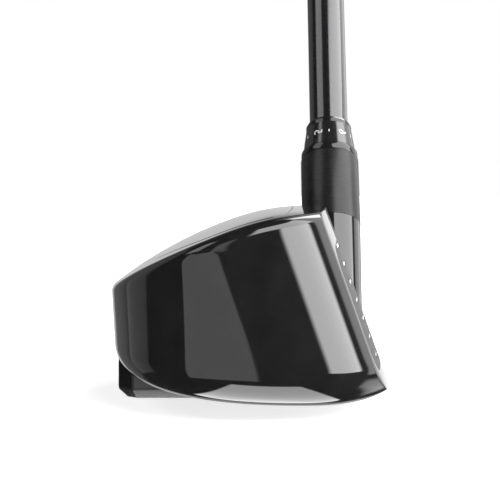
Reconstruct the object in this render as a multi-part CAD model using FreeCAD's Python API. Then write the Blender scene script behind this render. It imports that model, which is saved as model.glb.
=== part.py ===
import FreeCAD, Part
import math
import os

# A right-handed hybrid golf club with an adjustable loft sleeve, standing in
# its address position. Millimetres and degrees. +X points at the target, +Y
# from the toe to the heel and up the shaft, +Z up. The origin is in the flat
# keel face that the sole rests on.

V = FreeCAD.Vector

# ---- driving dimensions -------------------------------------------------
LOFT = 19.7
LIE = 60.0
SHAFT_TILT = 1.5            # the shaft stands this much more upright than the hosel
CLUB_LENGTH = 1029.0        # ground to butt, measured along the shaft
FACE_REACH = 28.5           # middle of the face at ground level
FACE_BULGE = 265.0          # radius of the face from toe to heel
FACE_TOE_Y = -38.5
CROWN_HEIGHT = 37.6
DOME_RADIUS = 1000.0         # crown, from toe to heel
DOME_Y = 0.0
CAMBER_RADIUS = 400.0       # sole, from toe to heel
HOSEL_X = 19.5
HOSEL_Y = 41.6              # where the hosel axis meets the ground
HOSEL_RADIUS = 7.0
NECK_START_Y = 34.0         # the face runs to here at ground level, then turns into the hosel
NECK_START_LEAN = 0.28
NECK_FRONT = 25.8           # front of the heel at the hosel axis, at ground level
NECK_FRONT_LEAN = 0.21

WALL = 1.7                  # cast skirt, sole and ledges
FACE_THICKNESS = 2.4
CROWN_THICKNESS = 1.0
CROWN_ROUND = 2.2           # rounded edge between crown and skirt
SOLE_ROUND = 6.0            # rounded edge between sole and skirt
CROWN_EDGE = 6.5            # the crown panel starts this far inside the skirt
CROWN_HEEL_Y = 48.0
LEDGE = 2.5                 # width of the ledges that carry crown panel and face plate
GLUE_GAP = 0.05             # glue or thread clearance on a radius
RUN_GAP = 0.08              # running clearance on a radius

# Face plate outline, measured across the face and up its slope.
FACE_HEEL_Y = 31.0
FACE_FOOT = 9.0
FACE_TOP = 36.0
FACE_TOE_DROP = 3.0
FACE_CORNER = 5.0
SCORELINES = 8
SCORE_PITCH = 3.4           # in height
SCORE_FOOT = 9.6
SCORE_WIDTH = 0.8
SCORE_DEPTH = 0.35
SCORE_HALF = 28.0

# Keel under the sole, ending in the weight pod at the back.
KEEL_FRONT = 12.0
KEEL_NOSE = 7.0
KEEL_WAIST_X = -8.0
KEEL_REAR = -25.9
POD_HALF = 13.5
KEEL_HEIGHT = 9.0
POD_CORNER = 3.0
POD_CHAMFER = 1.8

# Through-slot behind the leading edge.
SLOT_FRONT = 19.0
SLOT_WIDTH = 3.2
SLOT_HALF = 20.0
SLOT_TOP = 5.0

# Heights along the hosel axis, from the ground.
NECK_FOOT = 3.0
NECK_TOP = 16.0
COLLAR_BOTTOM = 36.5
COLLAR_TOP = 54.4
SEAT_RING_TOP = 56.5
SLEEVE_TOP = 62.9
FERRULE_TOP = 64.4
SLEEVE_BOTTOM = 22.0
SHELF_BOTTOM = 12.0         # the screw's washer bears on this step in the bore
SHELF_TOP = 16.0
BORE_MOUTH = -6.0           # below the sole, so that the recess breaks out
O_RING_HEIGHT = 48.0
SHAFT_FOOT = 29.0           # tip of the shaft inside the sleeve
TILT_HEIGHT = 40.0          # the shaft axis crosses the hosel axis here
BUTT = CLUB_LENGTH - 5.0    # end of the shaft under the grip's cap
GRIP_MOUTH = CLUB_LENGTH - 267.0
TIP_PLUG_TOP = 52.0

NECK_RADIUS = 8.2
NECK_WAIST = 6.7
SPIGOT_RADIUS = 6.45        # top of the hosel inside the collar
COLLAR_RADIUS = 7.05
SEAT_RING_RADIUS = 6.9
SLEEVE_SHOULDER = 6.45
SLEEVE_NECK = 5.6
BORE_RADIUS = 5.7
SHELF_RADIUS = 2.9
RECESS_RADIUS = 4.5
SLEEVE_RADIUS = BORE_RADIUS - RUN_GAP
POST_RADIUS = 7.6           # metal around the bore where it crosses the hollow head
O_RING_SECTION = 0.6
SHAFT_TIP_RADIUS = 4.7
SHAFT_TIP_BORE = 2.6
SHAFT_BUTT_RADIUS = 7.6
SHAFT_BUTT_BORE = 6.5
TIP_PARALLEL = 180.0        # the tip section is straight up to this height
BUTT_PARALLEL = 750.0       # and the butt section from this height
FERRULE_LIP = 0.6
TAPE = 0.2
TAPE_SETBACK = 2.0          # the tape stays hidden this far inside the grip's mouth
GRIP_MOUTH_RADIUS = 9.2
GRIP_LIP = 0.8
GRIP_BUTT_RADIUS = 13.0
GRIP_CAP_RADIUS = 13.4
CAP_RIM = 1.0
CAP_ROUND = 2.5
VENT_RADIUS = 2.0

# Splines between the sleeve's foot and the seat in the hosel.
SPLINES = 12
SPLINE_TOP = 25.2
SPLINE_ROOT = 4.2
SPLINE_TIP = 4.9
SPLINE_WIDE = 1.2           # the teeth taper, so that they slide in while turning
SPLINE_NARROW = 0.4
SPLINE_GAP = 0.05
SPLINE_SINK = 0.3           # how far a rib is sunk into the sleeve's foot
SEAT_BORE = 3.4
SEAT_TOP = 26.0
SEAT_STEP = 0.2             # end play between sleeve and seat
RETAINER_TOP = 17.2         # the ring over the shelf that keeps the screw in the head

# Screws, both M5, and the sole weight.
SCREW_RADIUS = 2.5
SCREW_HEAD_FOOT = 7.4
SCREW_HEAD_TOP = 11.0
SCREW_HEAD_RADIUS = 3.9
SCREW_TIP = 28.0
WASHER_RADIUS = 4.2
WASHER_BORE = 2.7
DRIVE = 4.5                 # across the lobes of the six-lobed recess
DRIVE_DEPTH = 2.2
WEIGHT_X = -14.5
WEIGHT_RADIUS = 6.5
WEIGHT_FLUSH = 0.6
WEIGHT_HEIGHT = 5.0
WEIGHT_SCREW_HEAD = 2.8
WEIGHT_SCREW_RADIUS = 4.0
WEIGHT_SCREW_TIP = 12.5
BOSS_RADIUS = 9.0
BOSS_TOP = 13.5

LOW = -3.0                  # levels that the head outline is drawn at
HIGH = 42.0
WIDE = 120.0                # longer than the head in any direction
LONG_EDGE = 120.0           # only the skirt's own edges are longer than this
SKIRT_MIDDLE = 15.0
BEYOND = 40.0               # past the crown and the sole in height
MARGIN = 5.0                # past the head's drawn levels
TURN_RANGE = 40.0           # degrees that a crown or sole profile is turned through

# Back of the head from the toe corner of the face round to the heel: control
# points of one smooth curve at ground level, each with the way it leans (x and
# y per unit of height). The curve starts in the toe corner of the face.
BACK = [
    (21.0, -45.3, -0.36, 0.0),
    (10.5, -48.0, -0.36, 0.0),
    (-1.5, -48.2, -0.26, 0.0),
    (-12.5, -44.5, -0.08, 0.0),
    (-21.5, -34.0, -0.05, 0.0),
    (-26.0, -16.0, -0.06, 0.0),
    (-27.0, 6.0, -0.05, 0.0),
    (-23.5, 25.0, 0.0, 0.1),
    (-14.0, 38.0, 0.05, 0.25),
    (-1.0, 45.0, 0.05, 0.38),
    (12.0, 48.0, 0.05, 0.45),
    (24.0, 46.5, 0.0, 0.45),
]

# Front-to-back profiles on the centre line, x and z.
CROWN_LINE = [(40, 37.2), (16, 37.7), (8, 37.6), (0, 36.2), (-9, 32.9), (-18, 28.5),
              (-26, 23.4), (-40, 12.2)]
SOLE_LINE = [(40, 15.0), (29, 4.4), (23, 0.6), (8, 0.4), (-6, 1.0), (-18, 3.2),
             (-28, 7.0), (-40, 13.0)]


# ---- helpers ------------------------------------------------------------
def tan(degrees):
    return math.tan(math.radians(degrees))


def face_x(y, z):
    """The hitting face: leans back with the loft, and bulges from toe to heel."""
    return FACE_REACH - z * tan(LOFT) - y * y / (2 * FACE_BULGE)


def smooth(points):
    """A cubic curve on the given control points."""
    curve = Part.BSplineCurve()
    curve.buildFromPoles([V(*p) for p in points], False, 3)
    return curve.toShape()


def back_poles(z, inset):
    """Control points of the back of the head at one level, moved inwards by inset."""
    toe = (face_x(FACE_TOE_Y, z), FACE_TOE_Y)
    flat = [toe] + [(x + lean_x * z, y + lean_y * z) for x, y, lean_x, lean_y in BACK]
    moved = []
    for i, (x, y) in enumerate(flat):
        before = flat[max(i - 1, 0)]
        after = flat[min(i + 1, len(flat) - 1)]
        along = V(after[0] - before[0], after[1] - before[1], 0).normalize()
        moved.append(V(x + along.y * inset, y - along.x * inset, z))
    return moved


def outline(z, inset=0.0):
    """Closed outline of the head at one level, running on past the face."""
    poles = back_poles(z, inset)
    toe_step = poles[0] - poles[1]
    heel_step = poles[-1] - poles[-2]
    ahead_of_toe = [poles[0] + toe_step * k for k in (3, 2, 1)]
    ahead_of_heel = [poles[-1] + heel_step * k for k in (1, 2, 3)]
    points = ahead_of_toe + poles + ahead_of_heel
    back = smooth(points)
    return Part.Wire([back, Part.makeLine(points[-1], points[0])])


def head_block(inset=0.0):
    """The head as a straight-sided block, before face, crown and sole are shaped."""
    return Part.makeLoft([outline(LOW, inset), outline(HIGH, inset)], True, True)


def ahead_of_face(setback=0.0):
    """Everything in front of the hitting face and, past its heel, of the line that
    runs forward into the hosel; or of a surface set back from both."""
    wires = []
    for z in (LOW - MARGIN, HIGH + MARGIN):
        hosel_y = HOSEL_Y + z / tan(LIE)
        toe = V(face_x(-WIDE / 2, z) - setback, -WIDE / 2, z)
        middle = V(face_x(0, z) - setback, 0, z)
        heel_y = NECK_START_Y + NECK_START_LEAN * z
        heel = V(face_x(heel_y, z) - setback, heel_y, z)
        front_x = NECK_FRONT - NECK_FRONT_LEAN * z - setback
        corners = [heel, V(front_x, hosel_y, z), V(front_x, WIDE, z), V(WIDE, WIDE, z),
                   V(WIDE, toe.y, z), toe]
        edges = [Part.Arc(toe, middle, heel).toShape()]
        for start, end in zip(corners, corners[1:]):
            edges.append(Part.makeLine(start, end))
        wires.append(Part.Wire(edges))
    return Part.makeLoft(wires, True, True)


def turned(profile, centre_y, centre_z):
    """Turns a flat closed profile (x, z) about a toe-to-heel arc centre."""
    face = Part.Face(Part.Wire(profile))
    face.rotate(V(0, centre_y, centre_z), V(1, 0, 0), -TURN_RANGE / 2)
    return face.revolve(V(0, centre_y, centre_z), V(1, 0, 0), TURN_RANGE)


def band(line, far_z, shift, centre_z, centre_y):
    """Everything between a profile line and a far level, turned from toe to heel."""
    points = [(x, centre_y, z + shift) for x, z in line]
    ends = [V(*points[0]), V(*points[-1])]
    corners = [V(ends[1].x, centre_y, far_z), V(ends[0].x, centre_y, far_z)]
    edges = [smooth(points)]
    edges.append(Part.makeLine(ends[1], corners[0]))
    edges.append(Part.makeLine(corners[0], corners[1]))
    edges.append(Part.makeLine(corners[1], ends[0]))
    return turned(edges, centre_y, centre_z)


def above_crown(drop=0.0):
    return band(CROWN_LINE, CROWN_HEIGHT + BEYOND, -drop, CROWN_HEIGHT - DOME_RADIUS, DOME_Y)


def below_sole(lift=0.0):
    return band(SOLE_LINE, -BEYOND, lift, CAMBER_RADIUS, 0)


def rod(radius, start, end):
    """A cylinder on the local axis between two heights."""
    return Part.makeCylinder(radius, end - start, V(0, 0, start))


def tube(outer, inner, start, end):
    return rod(outer, start, end).cut(rod(inner, start - 1, end + 1))


def turned_profile(points):
    """Solid of revolution about the local axis from (radius, height) corners."""
    wire = Part.makePolygon([V(r, 0, h) for r, h in points + points[:1]])
    return Part.Face(wire).revolve(V(0, 0, 0), V(0, 0, 1), 360)


def rounded_plate(corners, radius, thickness):
    """A flat plate on z = 0 with rounded corners, from its corner points (x, y)."""
    edges = []
    count = len(corners)
    starts, ends, middles = [], [], []
    for i in range(count):
        here = V(corners[i][0], corners[i][1], 0)
        before = V(*corners[i - 1], 0) - here
        after = V(*corners[(i + 1) % count], 0) - here
        half = before.getAngle(after) / 2
        reach = radius / math.tan(half)
        start = here + before.normalize() * reach
        end = here + after.normalize() * reach
        inward = (before + after).normalize()
        centre = here + inward * (radius / math.sin(half))
        starts.append(start)
        ends.append(end)
        middles.append(centre - inward * radius)
    for i in range(count):
        edges.append(Part.Arc(starts[i], middles[i], ends[i]).toShape())
        edges.append(Part.makeLine(ends[i], starts[(i + 1) % count]))
    return Part.Face(Part.Wire(edges)).extrude(V(0, 0, thickness))


def drive_recess(depth, mouth):
    """Six-lobed recess for a key, open downwards at the given height."""
    recess = rod(DRIVE / 3, mouth - 1, mouth + depth)
    for i in range(6):
        angle = math.radians(60 * i)
        lobe = rod(DRIVE / 7, mouth - 1, mouth + depth)
        lobe.translate(V(math.cos(angle), math.sin(angle), 0) * (DRIVE / 2 - DRIVE / 7))
        recess = recess.fuse(lobe)
    return recess


# ---- the two leaning axes ----------------------------------------------
HOSEL = FreeCAD.Placement(V(HOSEL_X, HOSEL_Y, 0), FreeCAD.Rotation(V(1, 0, 0), LIE - 90))
TILT = FreeCAD.Placement(V(0, 0, 0), FreeCAD.Rotation(V(1, 0, 0), SHAFT_TILT), V(0, 0, TILT_HEIGHT))


def on_hosel(shape):
    """From a local frame with the hosel axis as its z to the club's frame."""
    placed = shape.copy()
    placed.transformShape(HOSEL.toMatrix())
    return placed


def tilted(shape):
    """From the shaft's own axis to the hosel's local frame."""
    placed = shape.copy()
    placed.transformShape(TILT.toMatrix())
    return placed


def on_shaft(shape):
    return on_hosel(tilted(shape))


# ---- head ---------------------------------------------------------------
def skirt_edge(solid, above):
    """The long edge where the skirt meets the crown (above) or the sole."""
    for edge in solid.Edges:
        middle = edge.valueAt((edge.FirstParameter + edge.LastParameter) / 2)
        if edge.Length > LONG_EDGE and (middle.z > SKIRT_MIDDLE) == above:
            return edge
    raise ValueError("no skirt edge found")


def head_skin():
    """The outer form of the head without keel and hosel."""
    skin = head_block().cut(above_crown()).cut(below_sole())
    skin = skin.makeFillet(CROWN_ROUND, [skirt_edge(skin, True)])
    skin = skin.makeFillet(SOLE_ROUND, [skirt_edge(skin, False)])
    return skin.cut(ahead_of_face())


def hollow():
    """The space inside the skirt, the sole and the ledges."""
    inside = head_block(WALL).cut(above_crown(WALL)).cut(below_sole(WALL))
    inside = inside.makeFillet(CROWN_ROUND - WALL, [skirt_edge(inside, True)])
    boss = Part.makeCylinder(BOSS_RADIUS, BOSS_TOP, V(WEIGHT_X, 0, 0))
    post = on_hosel(rod(POST_RADIUS, BORE_MOUTH, COLLAR_TOP))
    return inside.cut(ahead_of_face(FACE_THICKNESS + WALL)).cut(boss).cut(post)


def crown_opening(inset):
    """A prism through the crown, this far inside the skirt and clear of the hosel."""
    opening = head_block(inset).cut(ahead_of_face(inset))
    return opening.cut(Part.makeBox(WIDE, WIDE, WIDE, V(-WIDE / 2, CROWN_HEEL_Y - inset, -WIDE / 2)))


def face_opening(inset):
    """A prism square to the face, this far inside the outline of the face plate."""
    top = FACE_TOP - inset
    toe = FACE_TOE_Y + FACE_CORNER / 2 + inset
    heel = FACE_HEEL_Y - inset
    foot = FACE_FOOT + inset
    corners = [(toe, foot), (heel, foot), (heel, top), (toe, top - FACE_TOE_DROP)]
    prism = rounded_plate(corners, FACE_CORNER, WIDE / 4)
    across = V(0, 1, 0)
    up = V(-math.sin(math.radians(LOFT)), 0, math.cos(math.radians(LOFT)))
    out = across.cross(up)
    start = V(FACE_REACH, 0, 0) - out * (WIDE / 8)
    prism.transformShape(FreeCAD.Matrix(across.x, up.x, out.x, start.x,
                                        across.y, up.y, out.y, start.y,
                                        across.z, up.z, out.z, start.z,
                                        0, 0, 0, 1))
    return prism


def keel():
    """The raised flat middle of the sole that ends in the weight pod."""
    corners = [(KEEL_FRONT, -KEEL_NOSE), (KEEL_FRONT, KEEL_NOSE), (KEEL_WAIST_X, POD_HALF),
               (KEEL_REAR, POD_HALF), (KEEL_REAR, -POD_HALF), (KEEL_WAIST_X, -POD_HALF)]
    outline_wire = Part.makePolygon([V(x, y, 0) for x, y in corners + corners[:1]])
    block = Part.Face(outline_wire).extrude(V(0, 0, KEEL_HEIGHT))
    close = POD_CHAMFER / 2
    at_rear = [e for e in block.Edges if e.BoundBox.XMax < KEEL_REAR + close]
    upright = [e for e in at_rear if e.BoundBox.YLength < close]
    block = block.makeChamfer(POD_CORNER, upright)
    under = [e for e in block.Edges if e.BoundBox.ZMax < close]
    behind_nose = [e for e in under if e.BoundBox.XMin < KEEL_FRONT - close]
    return block.makeChamfer(POD_CHAMFER, behind_nose)


def neck():
    """The hosel tube, flared where it grows out of the heel, with its spigot."""
    stem = turned_profile([(0, NECK_FOOT), (NECK_RADIUS, NECK_FOOT), (NECK_WAIST, NECK_TOP),
                           (HOSEL_RADIUS, COLLAR_BOTTOM), (SPIGOT_RADIUS, COLLAR_BOTTOM),
                           (SPIGOT_RADIUS, COLLAR_TOP), (0, COLLAR_TOP)])
    return on_hosel(stem).cut(below_sole())


def hosel_bore():
    """Stepped bore: the sleeve's above the shelf, the screw's recess below it."""
    return turned_profile([(0, BORE_MOUTH), (RECESS_RADIUS, BORE_MOUTH), (RECESS_RADIUS, SHELF_BOTTOM),
                           (SHELF_RADIUS, SHELF_BOTTOM), (SHELF_RADIUS, SHELF_TOP),
                           (BORE_RADIUS, SHELF_TOP), (BORE_RADIUS, COLLAR_TOP + 1),
                           (0, COLLAR_TOP + 1)])


def weight_port():
    """Stepped hole in the pod: the puck's seat and the screw's thread."""
    port = rod(WEIGHT_RADIUS + RUN_GAP, -MARGIN, WEIGHT_FLUSH + WEIGHT_HEIGHT)
    port = port.fuse(rod(SCREW_RADIUS + GLUE_GAP, 0, BOSS_TOP))
    port.translate(V(WEIGHT_X, 0, 0))
    return port


def sole_slot():
    """The slot's space, from below the sole to its top."""
    rear = SLOT_FRONT - SLOT_WIDTH
    corners = [(rear, -SLOT_HALF), (SLOT_FRONT, -SLOT_HALF), (SLOT_FRONT, SLOT_HALF), (rear, SLOT_HALF)]
    slot = rounded_plate(corners, SLOT_WIDTH / 2 - GLUE_GAP, SLOT_TOP + 1)
    slot.translate(V(0, 0, -1))
    return slot


def head_casting(skin):
    """Skirt, sole, keel and hosel in one casting, open at the face and the crown."""
    body = skin.fuse([keel(), neck()]).cut(hollow())
    body = body.cut(crown_opening(CROWN_EDGE).common(above_crown(CROWN_THICKNESS)))
    body = body.cut(crown_opening(CROWN_EDGE + LEDGE).common(above_crown(2 * WALL)))
    body = body.cut(face_opening(0).common(ahead_of_face(FACE_THICKNESS)))
    body = body.cut(face_opening(LEDGE).common(ahead_of_face(FACE_THICKNESS + 2 * WALL)))
    return body.cut([on_hosel(hosel_bore()), weight_port(), sole_slot()])


def crown_panel(skin):
    """The thin cover that closes the head from above, bonded on its ledge."""
    return skin.common(crown_opening(CROWN_EDGE)).common(above_crown(CROWN_THICKNESS))


def face_plate(skin):
    """The hitting plate, with its scorelines."""
    plate = skin.common(face_opening(0)).common(ahead_of_face(FACE_THICKNESS))
    lines = []
    for i in range(SCORELINES):
        height = SCORE_FOOT + i * SCORE_PITCH
        lines.append(Part.makeBox(WIDE, 2 * SCORE_HALF, SCORE_WIDTH, V(0, -SCORE_HALF, height)))
    return plate.cut(Part.makeCompound(lines).common(ahead_of_face(SCORE_DEPTH)))


def slot_filler(skin):
    """The polymer strip that closes the slot, flush with the sole."""
    return sole_slot().common(skin)


def hosel_collar():
    return on_hosel(tube(COLLAR_RADIUS, SPIGOT_RADIUS, COLLAR_BOTTOM, COLLAR_TOP))


def weight_puck():
    top = WEIGHT_FLUSH + WEIGHT_HEIGHT
    puck = rod(WEIGHT_RADIUS, WEIGHT_FLUSH, top).cut(rod(SCREW_RADIUS + RUN_GAP, 0, top + 1))
    puck = puck.cut(rod(WEIGHT_SCREW_RADIUS + RUN_GAP, 0, WEIGHT_FLUSH + WEIGHT_SCREW_HEAD + GLUE_GAP))
    rim = [e for e in puck.Edges if abs(e.Length - 2 * math.pi * WEIGHT_RADIUS) < 0.1]
    puck = puck.makeChamfer(WEIGHT_FLUSH / 2, rim)
    puck.translate(V(WEIGHT_X, 0, 0))
    return puck


def weight_screw():
    head_top = WEIGHT_FLUSH + WEIGHT_SCREW_HEAD
    screw = rod(WEIGHT_SCREW_RADIUS, WEIGHT_FLUSH, head_top)
    screw = screw.fuse(rod(SCREW_RADIUS, head_top, WEIGHT_SCREW_TIP))
    screw = screw.cut(drive_recess(DRIVE_DEPTH, WEIGHT_FLUSH))
    screw.translate(V(WEIGHT_X, 0, 0))
    return screw


# ---- hosel screw and splined seat ---------------------------------------
def spline(inner, outer, foot_width, top_width):
    """One tapered rib between two radii, from the sleeve's foot to the spline top."""
    sections = []
    for width, height in ((foot_width, SLEEVE_BOTTOM), (top_width, SPLINE_TOP)):
        corners = [V(inner, -width / 2, height), V(outer, -width / 2, height),
                   V(outer, width / 2, height), V(inner, width / 2, height)]
        sections.append(Part.makePolygon(corners + corners[:1]))
    return Part.makeLoft(sections, True, True)


def spline_ring(rib, offset_steps):
    ribs = []
    for i in range(SPLINES):
        turned_rib = rib.copy()
        turned_rib.rotate(V(0, 0, 0), V(0, 0, 1), (i + offset_steps) * 360 / SPLINES)
        ribs.append(turned_rib)
    return ribs


def splined_seat():
    """Bonded into the bore: it carries the sleeve's foot and stops it turning."""
    ring = tube(BORE_RADIUS, SPLINE_TIP + RUN_GAP, SLEEVE_BOTTOM - SEAT_STEP, SEAT_TOP)
    floor = tube(BORE_RADIUS, SEAT_BORE, SHELF_TOP, SLEEVE_BOTTOM - SEAT_STEP)
    pitch = 2 * math.pi * SPLINE_ROOT / SPLINES
    rib = spline(SPLINE_ROOT + RUN_GAP, SPLINE_TIP + 2 * RUN_GAP,
                 pitch - SPLINE_NARROW - 2 * SPLINE_GAP, pitch - SPLINE_WIDE - 2 * SPLINE_GAP)
    return on_hosel(floor.fuse([ring] + spline_ring(rib, 0.5)))


def hosel_screw():
    screw = rod(SCREW_HEAD_RADIUS, SCREW_HEAD_FOOT, SCREW_HEAD_TOP)
    screw = screw.fuse(rod(SCREW_RADIUS, SCREW_HEAD_TOP, SCREW_TIP))
    return on_hosel(screw.cut(drive_recess(DRIVE_DEPTH, SCREW_HEAD_FOOT)))


def hosel_washer():
    return on_hosel(tube(WASHER_RADIUS, WASHER_BORE, SCREW_HEAD_TOP, SHELF_BOTTOM))


def screw_retainer():
    """Sits in the foot of the seat and keeps the loosened screw in the head."""
    return on_hosel(tube(SEAT_BORE, SCREW_RADIUS + RUN_GAP, SHELF_TOP, RETAINER_TOP))


# ---- sleeve, shaft and grip ---------------------------------------------
def seat_ring():
    return on_hosel(tube(SEAT_RING_RADIUS, BORE_RADIUS, COLLAR_TOP, SEAT_RING_TOP))


def shaft_space():
    """The tilted bore that the shaft's tip is bonded into."""
    return tilted(rod(SHAFT_TIP_RADIUS, SHAFT_FOOT, FERRULE_TOP + MARGIN))


def loft_sleeve():
    """Keyed tube whose bore is tilted, so that turning it changes loft and lie."""
    body = turned_profile([(0, SLEEVE_BOTTOM), (SPLINE_ROOT, SLEEVE_BOTTOM), (SPLINE_ROOT, SPLINE_TOP),
                           (SPLINE_TIP, SPLINE_TOP), (SPLINE_TIP, SEAT_TOP + SEAT_STEP),
                           (SLEEVE_RADIUS, SEAT_TOP + SEAT_STEP), (SLEEVE_RADIUS, SEAT_RING_TOP),
                           (SLEEVE_SHOULDER, SEAT_RING_TOP), (SLEEVE_NECK, SLEEVE_TOP), (0, SLEEVE_TOP)])
    rib = spline(SPLINE_ROOT - SPLINE_SINK, SPLINE_TIP, SPLINE_NARROW, SPLINE_WIDE)
    body = body.fuse(spline_ring(rib, 0))
    groove = tube(SLEEVE_RADIUS + O_RING_SECTION, SLEEVE_RADIUS - O_RING_SECTION,
                  O_RING_HEIGHT - O_RING_SECTION, O_RING_HEIGHT + O_RING_SECTION)
    threaded_hole = rod(SCREW_RADIUS + GLUE_GAP, SLEEVE_BOTTOM - SEAT_STEP, SHAFT_FOOT)
    return on_hosel(body.cut([groove, threaded_hole, shaft_space()]))


def o_ring():
    middle = SLEEVE_RADIUS - O_RING_SECTION / 2
    ring = Part.makeTorus(middle, O_RING_SECTION / 2, V(0, 0, O_RING_HEIGHT))
    return on_hosel(ring)


def shaft_ferrule():
    shoulder = FERRULE_TOP - FERRULE_LIP
    lip_radius = SHAFT_TIP_RADIUS + FERRULE_LIP
    ferrule = turned_profile([(0, SLEEVE_TOP), (SLEEVE_NECK, SLEEVE_TOP), (SLEEVE_NECK, shoulder),
                              (lip_radius, FERRULE_TOP), (0, FERRULE_TOP)])
    return on_hosel(ferrule.cut(shaft_space()))


def shaft():
    return on_shaft(turned_profile([(SHAFT_TIP_BORE, SHAFT_FOOT), (SHAFT_TIP_RADIUS, SHAFT_FOOT),
                                    (SHAFT_TIP_RADIUS, TIP_PARALLEL), (SHAFT_BUTT_RADIUS, BUTT_PARALLEL),
                                    (SHAFT_BUTT_RADIUS, BUTT), (SHAFT_BUTT_BORE, BUTT),
                                    (SHAFT_BUTT_BORE, BUTT_PARALLEL), (SHAFT_TIP_BORE, TIP_PARALLEL)]))


def tip_plug():
    return on_shaft(rod(SHAFT_TIP_BORE, SHAFT_FOOT, TIP_PLUG_TOP))


def grip_tape():
    return on_shaft(tube(SHAFT_BUTT_RADIUS + TAPE, SHAFT_BUTT_RADIUS, GRIP_MOUTH + TAPE_SETBACK, BUTT))


def grip():
    bore = SHAFT_BUTT_RADIUS + TAPE
    profile = [(bore, GRIP_MOUTH), (GRIP_MOUTH_RADIUS - GRIP_LIP, GRIP_MOUTH),
               (GRIP_MOUTH_RADIUS, GRIP_MOUTH + 2 * GRIP_LIP), (GRIP_BUTT_RADIUS, BUTT), (bore, BUTT)]
    return on_shaft(turned_profile(profile))


def grip_cap():
    """Domed rubber cap over the butt, with the vent hole."""
    profile = [(VENT_RADIUS, BUTT), (GRIP_BUTT_RADIUS, BUTT), (GRIP_CAP_RADIUS, BUTT + CAP_RIM),
               (GRIP_CAP_RADIUS, CLUB_LENGTH - CAP_ROUND),
               (GRIP_CAP_RADIUS - CAP_ROUND, CLUB_LENGTH), (VENT_RADIUS, CLUB_LENGTH)]
    return on_shaft(turned_profile(profile))


def main():
    skin = head_skin()
    nodes = {
        "head_casting": head_casting(skin),
        "face_plate": face_plate(skin),
        "crown_panel": crown_panel(skin),
        "slot_filler": slot_filler(skin),
        "hosel_collar": hosel_collar(),
        "splined_seat": splined_seat(),
        "weight_puck": weight_puck(),
        "weight_screw": weight_screw(),
        "hosel_screw": hosel_screw(),
        "hosel_washer": hosel_washer(),
        "screw_retainer": screw_retainer(),
        "seat_ring": seat_ring(),
        "loft_sleeve": loft_sleeve(),
        "o_ring": o_ring(),
        "shaft_ferrule": shaft_ferrule(),
        "shaft": shaft(),
        "tip_plug": tip_plug(),
        "grip_tape": grip_tape(),
        "grip": grip(),
        "grip_cap": grip_cap(),
    }
    os.makedirs("parts", exist_ok=True)
    for name, shape in nodes.items():
        print(name, shape.isValid(), len(shape.Solids), round(shape.Volume, 1))
        shape.exportStep("parts/" + name + ".step")


main()
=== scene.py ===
import math

import bmesh
import bpy
import numpy as np
from mathutils import Matrix, Vector


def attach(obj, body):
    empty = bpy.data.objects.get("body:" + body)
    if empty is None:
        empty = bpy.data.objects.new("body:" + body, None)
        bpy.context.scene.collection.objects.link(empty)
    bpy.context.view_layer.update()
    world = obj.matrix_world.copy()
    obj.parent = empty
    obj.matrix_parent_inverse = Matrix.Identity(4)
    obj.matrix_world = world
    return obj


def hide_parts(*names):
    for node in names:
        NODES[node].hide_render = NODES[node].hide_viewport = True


# A hybrid golf club. The CAD model is the frame; the painted
# head, the turned parts of the hosel and shaft, and the grip are rebuilt here
# as finer meshes on the same dimensions. Lengths are millimetres until a mesh
# is made. +X points at the target, +Y from toe to heel, +Z up.

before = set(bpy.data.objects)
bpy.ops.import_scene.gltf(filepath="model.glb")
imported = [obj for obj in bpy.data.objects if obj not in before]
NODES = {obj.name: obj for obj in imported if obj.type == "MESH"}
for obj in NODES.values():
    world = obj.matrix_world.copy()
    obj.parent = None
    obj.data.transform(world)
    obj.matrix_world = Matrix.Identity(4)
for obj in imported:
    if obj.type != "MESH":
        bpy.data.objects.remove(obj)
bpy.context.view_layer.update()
MM = 0.001

# ---- driving dimensions, the same as in the CAD source --------------------
LOFT = math.radians(19.7)
LIE = math.radians(60.0)
SHAFT_TILT = math.radians(1.5)
TILT_HEIGHT = 40.0
FACE_REACH = 28.5
FACE_BULGE = 265.0
FACE_TOE_Y = -38.5
CROWN_HEIGHT = 37.6
DOME_RADIUS = 1000.0
DOME_Y = 0.0
CAMBER_RADIUS = 400.0
HOSEL_X = 19.5
HOSEL_Y = 41.6
NECK_START_Y = 34.0
NECK_START_LEAN = 0.28
NECK_FRONT = 25.8
NECK_FRONT_LEAN = 0.21
CROWN_ROUND = 2.2
SOLE_ROUND = 6.0
CROWN_EDGE = 6.5
CROWN_HEEL_Y = 48.0
CROWN_THICKNESS = 1.0
FACE_THICKNESS = 2.4
FACE_HEEL_Y = 31.0
FACE_FOOT = 9.0
FACE_TOP = 36.0
FACE_TOE_DROP = 3.0
FACE_CORNER = 5.0
SCORE_PITCH = 3.4
SCORE_FOOT = 9.6
SCORE_WIDTH = 0.8
SCORE_HALF = 28.0
KEEL_FRONT = 12.0
KEEL_NOSE = 7.0
KEEL_WAIST_X = -8.0
KEEL_REAR = -25.9
POD_HALF = 13.5
KEEL_HEIGHT = 9.0
POD_CORNER = 3.0
POD_CHAMFER = 1.8
SLOT_FRONT = 19.0
SLOT_WIDTH = 3.2
SLOT_HALF = 20.0
SLOT_TOP = 5.0
WEIGHT_X = -14.5
WEIGHT_RADIUS = 6.5
WEIGHT_TOP = 5.6
SCREW_RADIUS = 2.5
BOSS_TOP = 13.5
FIT_GAP = 0.08

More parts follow.
